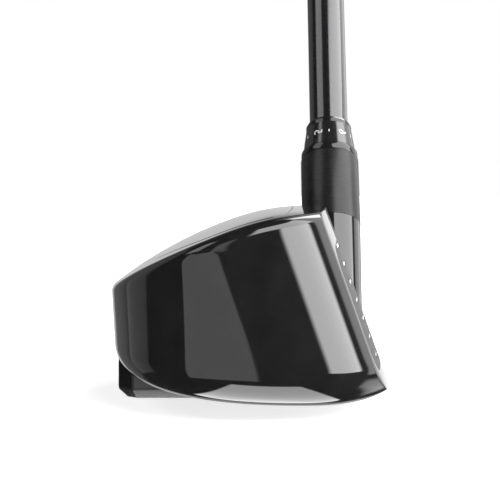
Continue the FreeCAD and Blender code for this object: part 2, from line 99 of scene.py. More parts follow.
# Heights along the hosel axis and along the shaft, and the radii there.
NECK_FOOT = 3.0
NECK_TOP = 16.0
COLLAR_BOTTOM = 36.5
COLLAR_TOP = 54.4
SEAT_RING_TOP = 56.5
SLEEVE_TOP = 62.9
SHELF_BOTTOM = 12.0
SHELF_TOP = 16.0
BORE_MOUTH = -6.0
SHAFT_FOOT = 29.0
TIP_PARALLEL = 180.0
BUTT_PARALLEL = 750.0
CLUB_LENGTH = 1029.0
BUTT = CLUB_LENGTH - 5.0
GRIP_MOUTH = CLUB_LENGTH - 267.0
NECK_RADIUS = 8.2
NECK_WAIST = 6.7
HOSEL_RADIUS = 7.0
SPIGOT_RADIUS = 6.45
COLLAR_RADIUS = 7.05
SEAT_RING_RADIUS = 6.9
SLEEVE_SHOULDER = 6.45
SLEEVE_NECK = 5.6
BORE_RADIUS = 5.7
RECESS_RADIUS = 4.5
SHELF_RADIUS = 2.9
SHAFT_TIP_RADIUS = 4.7
SHAFT_TIP_BORE = 2.6
SHAFT_BUTT_RADIUS = 7.6
SHAFT_BUTT_BORE = 6.5
TAPE = 0.2
GRIP_MOUTH_RADIUS = 9.2
GRIP_LIP = 0.8
GRIP_BUTT_RADIUS = 13.0
GRIP_CAP_RADIUS = 13.4
VENT_RADIUS = 2.0

# Control points of the head's back at ground level, each with the way it leans.
BACK = [
    (21.0, -45.3, -0.36, 0.0),
    (10.5, -48.0, -0.36, 0.0),
    (-1.5, -48.2, -0.26, 0.0),
    (-12.5, -44.5, -0.08, 0.0),
    (-21.5, -34.0, -0.05, 0.0),
    (-26.0, -16.0, -0.06, 0.0),
    (-27.0, 6.0, -0.05, 0.0),
    (-23.5, 25.0, 0.0, 0.1),
    (-14.0, 38.0, 0.05, 0.25),
    (-1.0, 45.0, 0.05, 0.38),
    (12.0, 48.0, 0.05, 0.45),
    (24.0, 46.5, 0.0, 0.45),
]
CROWN_LINE = [(40, 37.2), (16, 37.7), (8, 37.6), (0, 36.2), (-9, 32.9), (-18, 28.5),
              (-26, 23.4), (-40, 12.2)]
SOLE_LINE = [(40, 15.0), (29, 4.4), (23, 0.6), (8, 0.4), (-6, 1.0), (-18, 3.2),
             (-28, 7.0), (-40, 13.0)]

# How finely the head's skin is divided.
SKIRT_COLUMNS = 240
FRONT_COLUMNS = 110
SOLE_ARC_ROWS = 12
WALL_ROWS = 26
CROWN_ARC_ROWS = 9
DISC_RINGS = 26
EDGE_SOFT = 0.35            # rounding where the front surface meets the rest
EDGE_STEPS = 4


# ---- curves and surfaces of the head --------------------------------------
def basis(count, t):
    """Weights of the control points of a clamped uniform cubic curve at each t."""
    knots = np.concatenate([[0] * 3, np.arange(count - 2), [count - 3] * 3]).astype(float)
    t = np.clip(np.asarray(t, float), 0, count - 3 - 1e-9)
    weights = np.zeros((len(t), len(knots) - 1))
    for i in range(len(knots) - 1):
        weights[:, i] = (knots[i] <= t) & (t < knots[i + 1])
    for degree in (1, 2, 3):
        for i in range(len(knots) - 1 - degree):
            left = knots[i + degree] - knots[i]
            right = knots[i + degree + 1] - knots[i + 1]
            rising = (t - knots[i]) / left * weights[:, i] if left else 0
            falling = (knots[i + degree + 1] - t) / right * weights[:, i + 1] if right else 0
            weights[:, i] = rising + falling
    return weights[:, :count]


def height_line(points):
    """A profile line as sorted samples of x and z, to interpolate in."""
    t = np.linspace(0, len(points) - 3, 3000)
    samples = basis(len(points), t) @ np.array(points, float)
    return samples[::-1, 0], samples[::-1, 1]


CROWN_SAMPLES = height_line(CROWN_LINE)
SOLE_SAMPLES = height_line(SOLE_LINE)


def crown_z(x, y):
    centre = CROWN_HEIGHT - DOME_RADIUS
    reach = np.interp(x, *CROWN_SAMPLES) - centre
    return centre + np.sqrt(reach ** 2 - (y - DOME_Y) ** 2)


def sole_z(x, y):
    reach = CAMBER_RADIUS - np.interp(x, *SOLE_SAMPLES)
    return CAMBER_RADIUS - np.sqrt(reach ** 2 - y ** 2)


def face_x(y, z):
    return FACE_REACH - z * math.tan(LOFT) - y * y / (2 * FACE_BULGE)


def front_x(y, z):
    """The whole front: the hitting face, then the turn into the hosel past its heel."""
    total = 0
    shifts = np.linspace(-1.2, 1.2, 7)      # averaging over them softens the turn
    for shift in shifts:
        here = y + shift
        heel_y = NECK_START_Y + NECK_START_LEAN * z
        hosel_y = HOSEL_Y + z / math.tan(LIE)
        share = np.clip((here - heel_y) / (hosel_y - heel_y), 0, 1)
        neck_x = NECK_FRONT - NECK_FRONT_LEAN * z
        start = face_x(np.minimum(here, heel_y), z)
        total = total + start + share * (neck_x - face_x(heel_y, z))
    return total / len(shifts)


def back_poles(z, inset):
    """Control points of the back at each level, moved inwards: (levels, poles, 2)."""
    z = np.asarray(z, float)[:, None]
    back = np.array(BACK)
    xs = np.hstack([face_x(FACE_TOE_Y, z), back[:, 0] + back[:, 2] * z])
    ys = np.hstack([np.full_like(z, FACE_TOE_Y), back[:, 1] + back[:, 3] * z])
    flat = np.stack([xs, ys], axis=2)
    before = np.concatenate([flat[:, :1], flat[:, :-1]], axis=1)
    after = np.concatenate([flat[:, 1:], flat[:, -1:]], axis=1)
    along = after - before
    along /= np.linalg.norm(along, axis=2, keepdims=True)
    inward = np.stack([along[..., 1], -along[..., 0]], axis=2)
    return flat + inward * inset


def wall(t, z, inset=0.0):
    """Points of the skirt at curve position t and height z, one of each."""
    poles = back_poles(z, inset)
    toe_step = poles[:, :1] - poles[:, 1:2]
    heel_step = poles[:, -1:] - poles[:, -2:-1]
    steps = np.array([1, 2, 3])[None, :, None]
    ahead_of_toe = poles[:, :1] + toe_step * steps[:, ::-1]
    ahead_of_heel = poles[:, -1:] + heel_step * steps
    poles = np.concatenate([ahead_of_toe, poles, ahead_of_heel], axis=1)
    weights = basis(poles.shape[1], t)
    flat = np.einsum("np,npk->nk", weights, poles)
    return np.column_stack([flat, z])


def unit(v):
    return v / np.linalg.norm(v, axis=-1, keepdims=True)


def wall_inward(t, z):
    """Unit vectors square to the skirt, pointing into the head."""
    step = 1e-3
    along = wall(t + step, z) - wall(t - step, z)
    up = wall(t, z + step) - wall(t, z - step)
    return unit(np.cross(along, up))


def surface_normal(height, x, y):
    """Upward unit normals of a height function."""
    step = 1e-2
    slope_x = (height(x + step, y) - height(x - step, y)) / (2 * step)
    slope_y = (height(x, y + step) - height(x, y - step)) / (2 * step)
    return unit(np.column_stack([-slope_x, -slope_y, np.ones_like(x)]))


def solve(miss, low, high):
    """Where a function that rises from below zero to above it crosses zero, by halving."""
    low, high = np.array(low, float), np.array(high, float)
    for _ in range(28):
        middle = (low + high) / 2
        over = miss(middle) > 0
        high = np.where(over, middle, high)
        low = np.where(over, low, middle)
    return (low + high) / 2


def rolling_edge(height, radius, upper):
    """Rounded edge between the skirt and a cap, along the whole skirt: the ball's
    centre, and the unit vectors from it to where it touches the skirt and the cap."""
    side = 1.0 if upper else -1.0
    t = EDGE_SAMPLES

    def ball(z):
        centre = wall(t, z) + radius * wall_inward(t, z)
        to_cap = side * surface_normal(height, centre[:, 0], centre[:, 1])
        foot = centre + radius * to_cap
        to_cap = side * surface_normal(height, foot[:, 0], foot[:, 1])
        foot = centre + radius * to_cap
        foot[:, 2] = height(foot[:, 0], foot[:, 1])
        reach = np.einsum("nk,nk->n", foot - centre, to_cap)
        return centre, to_cap, reach

    inside = np.full(len(t), 16.0)
    outside = np.full(len(t), 44.0 if upper else -10.0)
    z = solve(lambda level: radius - ball(level)[2], inside, outside)
    centre, to_cap, _ = ball(z)
    return np.hstack([centre, -wall_inward(t, z), to_cap])


def swing(a, b, share):
    """Unit vectors a share of the way round from a to b."""
    angle = np.arccos(np.clip(np.einsum("nk,nk->n", a, b), -1, 1))
    share = np.asarray(share, float)
    part_a = np.sin((1 - share) * angle) / np.sin(angle)
    part_b = np.sin(share * angle) / np.sin(angle)
    return a * part_a[:, None] + b * part_b[:, None]


EDGE_SAMPLES = np.linspace(0.2, 15.9, 900)
SOLE_EDGE = rolling_edge(sole_z, SOLE_ROUND, False)
CROWN_RIM = rolling_edge(crown_z, CROWN_ROUND, True)
BAND_ROWS = SOLE_ARC_ROWS + WALL_ROWS + CROWN_ARC_ROWS


def at(table, t):
    """A rolling edge's three vectors at each curve position."""
    columns = [np.interp(t, EDGE_SAMPLES, table[:, k]) for k in range(9)]
    values = np.column_stack(columns)
    return values[:, :3], unit(values[:, 3:6]), unit(values[:, 6:])


def band_point(t, row):
    """Points of the skirt with its two rounded edges. Row 0 is on the sole, the
    last row on the crown."""
    low_ball, low_out, low_cap = at(SOLE_EDGE, t)
    top_ball, top_out, top_cap = at(CROWN_RIM, t)
    low_share = np.clip(row / SOLE_ARC_ROWS, 0, 1)
    top_share = np.clip((row - SOLE_ARC_ROWS - WALL_ROWS) / CROWN_ARC_ROWS, 0, 1)
    low = low_ball + SOLE_ROUND * swing(low_cap, low_out, low_share)
    top = top_ball + CROWN_ROUND * swing(top_out, top_cap, top_share)
    wall_share = np.clip((row - SOLE_ARC_ROWS) / WALL_ROWS, 0, 1)
    z = low[:, 2] + (top[:, 2] - low[:, 2]) * wall_share
    points = np.where((row <= SOLE_ARC_ROWS)[:, None], low, wall(t, z))
    return np.where((row >= SOLE_ARC_ROWS + WALL_ROWS)[:, None], top, points)


def beyond_front(points):
    return points[:, 0] - front_x(points[:, 1], points[:, 2])


def skirt_band():
    """The skirt as a grid of points (rows, columns, 3), from the face's toe edge
    round the back to the hosel's front."""
    rows = np.arange(BAND_ROWS + 1)
    toe_t = solve(lambda t: -beyond_front(band_point(t, rows)), rows * 0 + 0.3, rows * 0 + 4.0)
    heel_t = solve(lambda t: beyond_front(band_point(t, rows)), rows * 0 + 12.0, rows * 0 + 15.9)
    shares = np.linspace(0, 1, SKIRT_COLUMNS + 1)
    t = toe_t[:, None] + shares[None, :] * (heel_t - toe_t)[:, None]
    grid_rows = np.repeat(rows[:, None], len(shares), axis=1)
    points = band_point(t.ravel(), grid_rows.ravel())
    return points.reshape(len(rows), len(shares), 3)


def front_edge(height, start, end):
    """Where the front surface meets a cap, between two points, both left out."""
    shares = np.linspace(0, 1, FRONT_COLUMNS + 1)[1:-1]
    y = start[1] + (end[1] - start[1]) * shares
    x = front_x(y, height(0 * y, y))
    for _ in range(30):
        x = front_x(y, height(x, y))
    return np.column_stack([x, y, height(x, y)])


# ---- meshes ---------------------------------------------------------------
def new_object(name, points, faces):
    """A mesh object from points in millimetres."""
    mesh = bpy.data.meshes.new(name)
    mesh.from_pydata((np.asarray(points) * MM).tolist(), [], faces)
    made = bpy.data.objects.new(name, mesh)
    bpy.context.scene.collection.objects.link(made)
    return made


def smooth_by_angle(made, degrees=30.0):
    made.data.polygons.foreach_set("use_smooth", [True] * len(made.data.polygons))
    made.data.set_sharp_from_angle(angle=math.radians(degrees))


class Patchwork:
    """Collects grids of points and welds them into one closed mesh."""

    def __init__(self):
        self.points = []
        self.faces = []
        self.count = 0

    def grid(self, rows, closed=True):
        """Quads between successive rows; each row is an array of points."""
        rows = [np.asarray(row) for row in rows]
        width = len(rows[0])
        last = width if closed else width - 1
        for r in range(len(rows) - 1):
            for c in range(last):
                after = (c + 1) % width
                low = self.count + r * width
                high = low + width
                self.faces.append((low + c, low + after, high + after, high + c))
        self.points.extend(np.concatenate(rows))
        self.count += len(rows) * width

    def fan(self, ring, centre):
        first = self.count
        self.points.extend(list(ring) + [np.asarray(centre)])
        for c in range(len(ring)):
            self.faces.append((first + c, first + (c + 1) % len(ring), first + len(ring)))
        self.count += len(ring) + 1

    def weld(self, name):
        made = new_object(name, self.points, self.faces)
        work = bmesh.new()
        work.from_mesh(made.data)
        bmesh.ops.remove_doubles(work, verts=work.verts, dist=1e-4 * MM)
        bmesh.ops.dissolve_degenerate(work, edges=work.edges, dist=1e-4 * MM)
        bmesh.ops.recalc_face_normals(work, faces=work.faces)
        work.to_mesh(made.data)
        work.free()
        return made


def rings_to(loop, centre, height, count, stop=0.0):
    """Rings on a height surface, shrinking in plan from a loop towards a centre."""
    rings = []
    for share in np.linspace(1, stop, count + 1)[1:]:
        x = centre[0] + (loop[:, 0] - centre[0]) * share
        y = centre[1] + (loop[:, 1] - centre[1]) * share
        rings.append(np.column_stack([x, y, height(x, y)]))
    return rings


def loop_tangents(loop):
    return unit(np.roll(loop, -1, axis=0) - np.roll(loop, 1, axis=0))


def soft_front_edge(loop, outer_normals):
    """Rows of points that round the front surface's edge: the first row lies on
    the surface behind the edge, the last on the front surface."""
    along = loop_tangents(loop)
    back = unit(np.cross(outer_normals, along))
    back *= np.where(back[:, :1] > 0, -1.0, 1.0)
    step = 1e-2
    y, z = loop[:, 1], loop[:, 2]
    slope_y = (front_x(y + step, z) - front_x(y - step, z)) / (2 * step)
    slope_z = (front_x(y, z + step) - front_x(y, z - step)) / (2 * step)
    front_normals = unit(np.column_stack([np.ones(len(y)), -slope_y, -slope_z]))
    inwards = unit(np.cross(front_normals, along))
    to_middle = loop.mean(axis=0) - loop
    inwards *= np.sign(np.einsum("nk,nk->n", inwards, to_middle))[:, None]
    start = loop + EDGE_SOFT * back
    end = loop + EDGE_SOFT * inwards
    rows = []
    for share in np.linspace(0, 1, EDGE_STEPS + 1):
        rows.append((1 - share) ** 2 * start + 2 * share * (1 - share) * loop + share ** 2 * end)
    return rows


CROWN_MIDDLE = (-5.0, 0.0)
SOLE_MIDDLE = (-2.0, 0.0)
FRONT_MIDDLE = (0.0, 19.0)
RIM_RINGS = 9
SEAM = 0.06                 # visible gap round the crown panel
FACE_RINGS = 24


def on_crown_inset(t, inset):
    """Points of the crown a distance inside the skirt."""
    z = np.full(len(t), 30.0)
    for _ in range(25):
        points = wall(t, z, inset)
        z = crown_z(points[:, 0], points[:, 1])
    return np.column_stack([points[:, :2], z])


def spread(line, shares):
    """Points of a polyline at shares of its length."""
    steps = np.linalg.norm(np.diff(line, axis=0), axis=1)
    reach = np.concatenate([[0], np.cumsum(steps)])
    wanted = np.asarray(shares) * reach[-1]
    return np.column_stack([np.interp(wanted, reach, line[:, k]) for k in range(3)])


def panel_loop(inset, shares):
    """Outline of the crown panel: round the back, across at the heel, and along
    the front. The first len(shares) points answer to the skirt's columns."""
    def ahead(t):
        points = on_crown_inset(t, inset)
        return front_x(points[:, 1], points[:, 2]) - inset - points[:, 0]

    heel_y = CROWN_HEEL_Y - inset
    toe_t = solve(ahead, [0.4], [6.0])[0]
    heel_t = solve(lambda t: on_crown_inset(t, inset)[:, 1] - heel_y, [8.0], [13.0])[0]
    back = on_crown_inset(np.linspace(toe_t, heel_t, 600), inset)
    corner_x = front_x(heel_y, crown_z(10.0, heel_y)) - inset
    across_x = np.linspace(back[-1, 0], corner_x, 60)
    across = np.column_stack([across_x, 0 * across_x + heel_y, crown_z(across_x, 0 * across_x + heel_y)])
    back_length = np.linalg.norm(np.diff(back, axis=0), axis=1).sum()
    turn = back_length / (back_length + corner_x - back[-1, 0])
    turn = shares[np.argmin(abs(shares - turn))]
    on_back = shares[shares <= turn] / turn
    on_across = (shares[shares > turn] - turn) / (1 - turn)
    y = heel_y + (back[0, 1] - heel_y) * np.linspace(0, 1, FRONT_COLUMNS + 1)[1:-1]
    x = front_x(y, crown_z(0 * y + 8.0, y)) - inset
    for _ in range(20):
        x = front_x(y, crown_z(x, y)) - inset
    front = np.column_stack([x, y, crown_z(x, y)])
    return np.vstack([spread(back, on_back), spread(across, on_across), front])


def lowered(loop, drop):
    return loop - np.array([0, 0, drop])


def head_skin():
    """Skirt, sole, front and crown rim as one closed mesh, with the shallow step
    that the crown panel lies in."""
    band = skirt_band()
    bottom = front_edge(sole_z, band[0, 0], band[0, -1])
    top = front_edge(crown_z, band[-1, 0], band[-1, -1])
    rows = len(band)
    loop = np.vstack([bottom, band[:, -1], top[::-1], band[::-1, 0]])
    band_up = np.gradient(band, axis=0)
    band_along = np.gradient(band, axis=1)
    band_normals = unit(np.cross(band_along, band_up))
    normals = np.vstack([surface_normal(sole_z, bottom[:, 0], bottom[:, 1]),
                         band_normals[:, -1],
                         surface_normal(crown_z, top[::-1, 0], top[::-1, 1]),
                         band_normals[::-1, 0]])
    edge_rows = soft_front_edge(loop, normals)
    moved = edge_rows[0]
    columns = len(bottom)
    bottom = moved[:columns]
    band[:, -1] = moved[columns:columns + rows]
    top = moved[columns + rows:2 * columns + rows][::-1]
    band[:, 0] = moved[2 * columns + rows:][::-1]

    work = Patchwork()
    work.grid(edge_rows)
    work.grid(list(band), closed=False)
    sole_loop = np.vstack([band[0], bottom[::-1]])
    sole_rings = rings_to(sole_loop, SOLE_MIDDLE, sole_z, DISC_RINGS, 1 / DISC_RINGS)
    work.grid([sole_loop] + sole_rings)
    work.fan(sole_rings[-1], (*SOLE_MIDDLE, sole_z(*SOLE_MIDDLE)))

    crown_loop = np.vstack([band[-1], top[::-1]])
    lengths = np.linalg.norm(np.diff(band[-1], axis=0), axis=1)
    shares = np.concatenate([[0], np.cumsum(lengths)]) / lengths.sum()
    window = panel_loop(CROWN_EDGE, shares)
    rim = []
    for share in np.linspace(0, 1, RIM_RINGS + 1)[1:]:
        flat = crown_loop * (1 - share) + window * share
        rim.append(np.column_stack([flat[:, :2], crown_z(flat[:, 0], flat[:, 1])]))
    floor = lowered(window, CROWN_THICKNESS + SEAM)
    floor_middle = (*CROWN_MIDDLE, crown_z(*CROWN_MIDDLE) - CROWN_THICKNESS - SEAM)
    work.grid([crown_loop] + rim + [floor])
    work.fan(floor, floor_middle)

    front_loop = edge_rows[-1]
    front_rings = []
    for share in np.linspace(1, 1 / FACE_RINGS, FACE_RINGS)[1:]:
        y = FRONT_MIDDLE[0] + (front_loop[:, 1] - FRONT_MIDDLE[0]) * share
        z = FRONT_MIDDLE[1] + (front_loop[:, 2] - FRONT_MIDDLE[1]) * share
        front_rings.append(np.column_stack([front_x(y, z), y, z]))
    work.grid([front_loop] + front_rings)
    work.fan(front_rings[-1], (front_x(*FRONT_MIDDLE), *FRONT_MIDDLE))
    return work.weld("head_shell"), shares


def crown_cover(shares):
    """The thin panel that closes the crown, a hair smaller than its step."""
    outline = panel_loop(CROWN_EDGE + SEAM, shares)
    middle = np.array([*CROWN_MIDDLE, 0.0])
    inner = outline + unit((middle - outline) * [1, 1, 0]) * SEAM * 2
    inner[:, 2] = crown_z(inner[:, 0], inner[:, 1])
    rings = rings_to(inner, CROWN_MIDDLE, crown_z, DISC_RINGS, 1 / DISC_RINGS)
    top_middle = np.array([*CROWN_MIDDLE, crown_z(*CROWN_MIDDLE)])
    work = Patchwork()
    work.grid([lowered(outline, CROWN_THICKNESS), lowered(outline, SEAM), inner] + rings)
    work.fan(rings[-1], top_middle)
    work.fan(lowered(outline, CROWN_THICKNESS), lowered(top_middle, CROWN_THICKNESS))
    return work.weld("crown_cover")


# ---- turned parts on the two leaning axes ---------------------------------
UPRIGHT = math.pi / 2
HOSEL = Matrix.Translation((HOSEL_X, HOSEL_Y, 0)) @ Matrix.Rotation(LIE - UPRIGHT, 4, "X")
TILT = (Matrix.Translation((0, 0, TILT_HEIGHT)) @ Matrix.Rotation(SHAFT_TILT, 4, "X")
        @ Matrix.Translation((0, 0, -TILT_HEIGHT)))
SHAFT = HOSEL @ TILT
TURN_STEPS = 96


def placed(points, axis):
    """Points from an axis's own frame to the club's."""
    matrix = np.array(axis)
    return points @ matrix[:3, :3].T + matrix[:3, 3]


def eased(profile, radius, steps=3):
    """A closed profile of (radius, height) corners with each corner rounded."""
    profile = np.array(profile, float)
    points = []
    for i, corner in enumerate(profile):
        before, after = profile[i - 1], profile[(i + 1) % len(profile)]
        reach = min(radius, np.linalg.norm(before - corner) / 3, np.linalg.norm(after - corner) / 3)
        start = corner + unit(before - corner) * reach
        end = corner + unit(after - corner) * reach
        for share in np.linspace(0, 1, steps + 1):
            points.append((1 - share) ** 2 * start + 2 * share * (1 - share) * corner
                          + share ** 2 * end)
    return np.array(points)


def turned(name, profile, axis, steps=TURN_STEPS):
    """A profile of (radius, height) points swept round an axis. It either starts
    and ends on the axis, or is a closed loop clear of it."""
    angles = np.arange(steps) * 2 * math.pi / steps
    solid = profile[0][0] == 0
    line = profile[1:-1] if solid else list(profile) + [profile[0]]
    rows = []
    for radius, height in line:
        ring = np.column_stack([radius * np.cos(angles), radius * np.sin(angles),
                                np.full(steps, height)])
        rows.append(placed(ring, axis))
    work = Patchwork()
    work.grid(rows)
    if solid:
        for ring, (_, height) in ((rows[0], profile[0]), (rows[-1], profile[-1])):
            work.fan(ring, placed(np.array([[0, 0, height]]), axis)[0])
    return work.weld(name)


def slab(name, corners, levels):
    """A prism through (x, y) corner lists, one for each level."""
    work = Patchwork()
    rings = [np.column_stack([np.array(ring), np.full(len(ring), z)])
             for ring, z in zip(corners, levels)]
    work.grid(rings)
    work.fan(rings[0], rings[0].mean(axis=0))
    work.fan(rings[-1], rings[-1].mean(axis=0))
    return work.weld(name)


def drawn_in(corners, insets):
    """A convex outline with each side moved inwards by its own distance."""
    corners = np.array(corners, float)
    count = len(corners)
    lines = []
    for i in range(count):
        start, end = corners[i], corners[(i + 1) % count]
        along = unit(end - start)
        inward = np.array([-along[1], along[0]])
        if np.dot(inward, corners.mean(axis=0) - start) < 0:
            inward = -inward
        lines.append((start + inward * insets[i], along))
    moved = []
    for i in range(count):
        (p, a), (q, b) = lines[i - 1], lines[i]
        share = np.linalg.solve(np.column_stack([a, -b]), q - p)[0]
        moved.append(p + a * share)
    return moved


def bevelled(made, width, segments=3):
    bevel = made.modifiers.new("edges", "BEVEL")
    bevel.width = width * MM
    bevel.segments = segments
    bevel.limit_method = "ANGLE"
    bevel.angle_limit = math.radians(25)
    apply_modifiers(made)


def apply_modifiers(made):
    graph = bpy.context.evaluated_depsgraph_get()
    mesh = bpy.data.meshes.new_from_object(made.evaluated_get(graph))
    made.modifiers.clear()
    made.data = mesh


def combine(made, other, operation):
    """Joins another closed mesh to this one or cuts it away, and drops the other."""
    change = made.modifiers.new("shape", "BOOLEAN")
    change.operation = operation
    change.solver = "MANIFOLD"
    change.object = other
    apply_modifiers(made)
    bpy.data.objects.remove(other)


KEEL_EASE = 0.3


def keel():
    """The flat middle of the sole with the weight's pod, bevelled like a casting."""
    rear = KEEL_REAR + POD_CORNER
    side = POD_HALF - POD_CORNER
    outline = [(KEEL_FRONT, KEEL_NOSE), (KEEL_WAIST_X, POD_HALF), (rear, POD_HALF),
               (KEEL_REAR, side), (KEEL_REAR, -side), (rear, -POD_HALF),
               (KEEL_WAIST_X, -POD_HALF), (KEEL_FRONT, -KEEL_NOSE)]
    insets = [POD_CHAMFER] * (len(outline) - 1) + [0]
    foot = drawn_in(outline, insets)
    made = slab("keel", [foot, outline, outline], [0, POD_CHAMFER, KEEL_HEIGHT])
    bevelled(made, KEEL_EASE)
    return made


def neck():
    """The hosel, flared where it grows out of the heel and cut to the sole below."""
    flare = []
    for share in np.linspace(0, 1, 14):
        ease = 1 - math.sin(share * math.pi / 2)
        flare.append((NECK_WAIST + (NECK_RADIUS - NECK_WAIST) * ease,
                      NECK_FOOT + (NECK_TOP - NECK_FOOT) * share))
    foot = [(0, NECK_FOOT)] + [(NECK_RADIUS * k / 8, NECK_FOOT) for k in range(1, 8)]
    for share in np.linspace(0, 1, 16)[1:-1]:
        flare.append((NECK_WAIST + (HOSEL_RADIUS - NECK_WAIST) * share,
                      NECK_TOP + (COLLAR_BOTTOM - NECK_TOP) * share))
    top = [(HOSEL_RADIUS, COLLAR_BOTTOM), (SPIGOT_RADIUS, COLLAR_BOTTOM),
           (SPIGOT_RADIUS, COLLAR_TOP), (0, COLLAR_TOP)]
    made = turned("neck", foot + flare + top, HOSEL)
    for vertex in made.data.vertices:
        x, y, z = vertex.co / MM
        vertex.co.z = max(z, sole_z(x, y) + FIT_GAP) * MM
    return made


PAST = 1.0                  # how far a cutting shape runs past the surface


def bore():
    profile = [(0, BORE_MOUTH), (RECESS_RADIUS, BORE_MOUTH), (RECESS_RADIUS, SHELF_BOTTOM),
               (SHELF_RADIUS, SHELF_BOTTOM), (SHELF_RADIUS, SHELF_TOP), (BORE_RADIUS, SHELF_TOP),
               (BORE_RADIUS, COLLAR_TOP + PAST), (0, COLLAR_TOP + PAST)]
    return turned("bore", profile, HOSEL)


def weight_port():
    radius = WEIGHT_RADIUS + FIT_GAP
    profile = [(0, -PAST), (radius, -PAST), (radius, WEIGHT_TOP), (SCREW_RADIUS, WEIGHT_TOP),
               (SCREW_RADIUS, BOSS_TOP), (0, BOSS_TOP)]
    return turned("port", profile, Matrix.Translation((WEIGHT_X, 0, 0)))


def rounded_corners(corners, radius, steps=6):
    """Outline points of a convex polygon with its corners rounded to arcs."""
    corners = np.array(corners, float)
    points = []
    for i, corner in enumerate(corners):
        before = unit(corners[i - 1] - corner)
        after = unit(corners[(i + 1) % len(corners)] - corner)
        half = math.acos(np.dot(before, after)) / 2
        centre = corner + unit(before + after) * radius / math.sin(half)
        start = corner + before * radius / math.tan(half) - centre
        end = corner + after * radius / math.tan(half) - centre
        for share in np.linspace(0, 1, steps + 1):
            points.append(centre + swing(start[None] / radius, end[None] / radius, share)[0] * radius)
    return points


def sole_slot():
    rear = SLOT_FRONT - SLOT_WIDTH
    corners = [(rear, -SLOT_HALF), (SLOT_FRONT, -SLOT_HALF), (SLOT_FRONT, SLOT_HALF), (rear, SLOT_HALF)]
    outline = rounded_corners(corners, SLOT_WIDTH / 2 - SEAM)
    return slab("slot", [outline, outline], [-PAST, SLOT_TOP])


PAST_BULGE = 5.0            # clears the middle of the face, which bulges past its rim


def face_opening():
    """The step that the face plate lies in, square to the face."""
    toe = FACE_TOE_Y + FACE_CORNER / 2
    corners = [(toe, FACE_FOOT), (FACE_HEEL_Y, FACE_FOOT), (FACE_HEEL_Y, FACE_TOP),
               (toe, FACE_TOP - FACE_TOE_DROP)]
    outline = np.array(rounded_corners(corners, FACE_CORNER + SEAM))
    middle = outline.mean(axis=0)
    outline = middle + (outline - middle) * (1 + SEAM / FACE_CORNER / 2)
    out = np.array([math.cos(LOFT), 0, math.sin(LOFT)])
    up = np.array([-math.sin(LOFT), 0, math.cos(LOFT)])
    y, height = outline[:, 0], outline[:, 1]
    on_face = np.array([FACE_REACH, 0, 0]) + np.outer(height, up) + np.outer(y, [0, 1, 0])
    behind = on_face[:, 0] - face_x(y, on_face[:, 2])
    on_face -= np.outer(behind * math.cos(LOFT), out)
    work = Patchwork()
    floor = on_face - out * FACE_THICKNESS
    roof = on_face + out * PAST_BULGE
    work.grid([floor, roof])
    work.fan(floor, floor.mean(axis=0))
    work.fan(roof, roof.mean(axis=0))
    return work.weld("face_opening")


def head():
    """The painted casting with its keel, hosel and openings."""
    made, shares = head_skin()
    for part in (keel(), neck()):
        combine(made, part, "UNION")
    for space in (bore(), weight_port(), sole_slot(), face_opening()):
        combine(made, space, "DIFFERENCE")
    smooth_by_angle(made)
    return made, shares


def ring_profile(outer, inner, start, end):
    return [(inner, start), (outer, start), (outer, end), (inner, end)]


COLLAR_EASE = 0.25
RING_EASE = 0.35


def collar():
    """The matt sleeve round the top of the hosel, with fine turning marks."""
    profile = eased(ring_profile(COLLAR_RADIUS, SPIGOT_RADIUS, COLLAR_BOTTOM, COLLAR_TOP), COLLAR_EASE)
    return turned("collar_turned", profile, HOSEL)


RING_SLACK = 0.02           # keeps the ring from touching the sleeve that turns in it


def loose_ring():
    profile = eased(ring_profile(SEAT_RING_RADIUS, BORE_RADIUS + RING_SLACK, COLLAR_TOP,
                                 SEAT_RING_TOP - RING_SLACK), RING_EASE)
    return turned("ring_turned", profile, HOSEL)


def shaft():
    """Tapered tube; its lacquer is smooth over many short lengths."""
    outside = [(SHAFT_TIP_RADIUS, SHAFT_FOOT)]
    for share in np.linspace(0, 1, 60):
        height = TIP_PARALLEL + (BUTT_PARALLEL - TIP_PARALLEL) * share
        outside.append((SHAFT_TIP_RADIUS + (SHAFT_BUTT_RADIUS - SHAFT_TIP_RADIUS) * share, height))
    outside.append((SHAFT_BUTT_RADIUS, BUTT))
    inside = [(SHAFT_BUTT_BORE, BUTT), (SHAFT_BUTT_BORE, BUTT_PARALLEL),
              (SHAFT_TIP_BORE, TIP_PARALLEL), (SHAFT_TIP_BORE, SHAFT_FOOT)]
    return turned("shaft_tube", outside + inside, SHAFT)


GRIP_ROWS = 560
GRIP_STEPS = 168
TREAD_DEPTH = 0.28
TREAD_TURNS = 14            # grooves round the grip each way
TREAD_PITCH = 5.5
TREAD_START = 22.0          # plain rubber below and above the tread
TREAD_BANDS = 5
TREAD_HALF = 0.44           # half of each band that has tread
TREAD_ANGLE = 50
GROOVE_START = 0.55
GROOVE_EASE = 0.3


